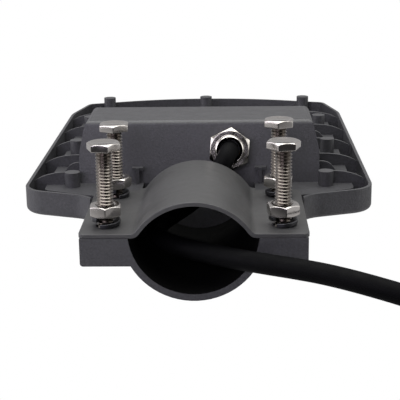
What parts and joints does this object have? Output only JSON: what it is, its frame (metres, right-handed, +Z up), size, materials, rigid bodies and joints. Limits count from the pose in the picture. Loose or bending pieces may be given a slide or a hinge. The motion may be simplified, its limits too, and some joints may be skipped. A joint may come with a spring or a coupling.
{
  "type": "shoebox area light",
  "caption": "LED area light head: low finned casting with a driver box, lens cover beneath, and a bolted saddle clamp for a horizontal pole; supply cable leaves by the pole bore.",
  "frame": {"origin": "on the axis of the pole bore, at the casting's front face", "axes": "+Y along the pole bore from its mouth towards the head, +Z up, light shines down"},
  "size_m": [0.2643, 0.3603, 0.0737],
  "materials": {
    "powder_coat": "violet-grey polyester powder coat, fine texture",
    "saddle_coat": "grey satin powder coat, smoother than the casting",
    "stainless": "bright stainless steel",
    "spring_steel": "dark oiled spring steel",
    "nickel_brass": "nickel-plated brass, polished",
    "brass": "turned brass",
    "cable_rubber": "black rubber sheath",
    "seal_rubber": "soft rubber",
    "core_pvc": "brown, blue and green-yellow PVC cores",
    "tinned_copper": "tinned copper",
    "terminal_plastic": "ivory polyamide",
    "driver_plastic": "white polycarbonate case",
    "lead_pvc": "red and black PVC leads",
    "thermal_silicone": "blue silicone pad",
    "white_board": "white solder mask on aluminium",
    "led_phosphor": "yellow phosphor on white package",
    "lens_polycarbonate": "clear moulded polycarbonate"
  },
  "bodies": {
    "lamp": {"housing": "powder_coat", "bolt_fl": "stainless", "bolt_fr": "stainless", "bolt_rl": "stainless", "bolt_rr": "stainless", "gland_body": "nickel_brass", "gland_oring": "seal_rubber", "gland_locknut": "nickel_brass", "gland_seal": "seal_rubber", "supply_cable": "cable_rubber", "cable_cores": "core_pvc", "core_ferrules": "tinned_copper", "cable_tail": "cable_rubber", "supply_cores": "core_pvc", "terminal_block": "terminal_plastic", "terminal_screws": "stainless", "earth_screw": "brass", "earth_lug": "tinned_copper", "driver_case": "driver_plastic", "driver_screws": "stainless", "led_leads": "lead_pvc", "thermal_pad": "thermal_silicone", "led_board": "white_board", "led_packages": "led_phosphor", "board_screws": "stainless", "lens_gasket": "seal_rubber", "lens_cover": "lens_polycarbonate", "lens_screws": "stainless", "driver_gasket": "seal_rubber", "driver_cover": "powder_coat", "driver_cover_screws": "stainless"},
    "saddle": {"saddle_plate": "saddle_coat", "spring_washer_fl": "spring_steel", "spring_washer_fr": "spring_steel", "spring_washer_rl": "spring_steel", "spring_washer_rr": "spring_steel"},
    "gland_ring": {"gland_slip_ring": "brass"},
    "gland_cap": {"gland_nut": "nickel_brass"},
    "nut_fl": {"nut_fl": "stainless"},
    "nut_fr": {"nut_fr": "stainless"},
    "nut_rl": {"nut_rl": "stainless"},
    "nut_rr": {"nut_rr": "stainless"}
  },
  "joints": [
    {"name": "saddle_lift", "type": "slide", "parent": "lamp", "child": "saddle", "axis": [0, 0, 1], "range_m": [0, 0.0202]},
    {"name": "nut_fl_turn", "type": "hinge", "parent": "saddle", "child": "nut_fl", "pos_m": [-0.041, 0.015, 0.0062], "axis": [0, 0, 1], "range_deg": [0, 5820]},
    {"name": "nut_fr_turn", "type": "hinge", "parent": "saddle", "child": "nut_fr", "pos_m": [0.041, 0.015, 0.0062], "axis": [0, 0, 1], "range_deg": [0, 5820]},
    {"name": "nut_rl_turn", "type": "hinge", "parent": "saddle", "child": "nut_rl", "pos_m": [-0.041, 0.0655, 0.0062], "axis": [0, 0, 1], "range_deg": [0, 5820]},
    {"name": "nut_rr_turn", "type": "hinge", "parent": "saddle", "child": "nut_rr", "pos_m": [0.041, 0.0655, 0.0062], "axis": [0, 0, 1], "range_deg": [0, 5820]},
    {"name": "gland_release", "type": "slide", "parent": "lamp", "child": "gland_ring", "axis": [0, -0.9839, 0.1788], "range_m": [0, 0.00075]},
    {"name": "gland_nut_turn", "type": "hinge", "parent": "gland_ring", "child": "gland_cap", "pos_m": [0.0164, 0.10622, 0.01324], "axis": [0, -0.9839, 0.1788], "range_deg": [0, 182]}
  ],
  "couplings": [
    {"joint": "nut_fl_turn", "follows": "saddle_lift", "rad_per_m": 5026.5},
    {"joint": "nut_fr_turn", "follows": "saddle_lift", "rad_per_m": 5026.5},
    {"joint": "nut_rl_turn", "follows": "saddle_lift", "rad_per_m": 5026.5},
    {"joint": "nut_rr_turn", "follows": "saddle_lift", "rad_per_m": 5026.5},
    {"joint": "gland_nut_turn", "follows": "gland_release", "rad_per_m": 4188.8}
  ]
}
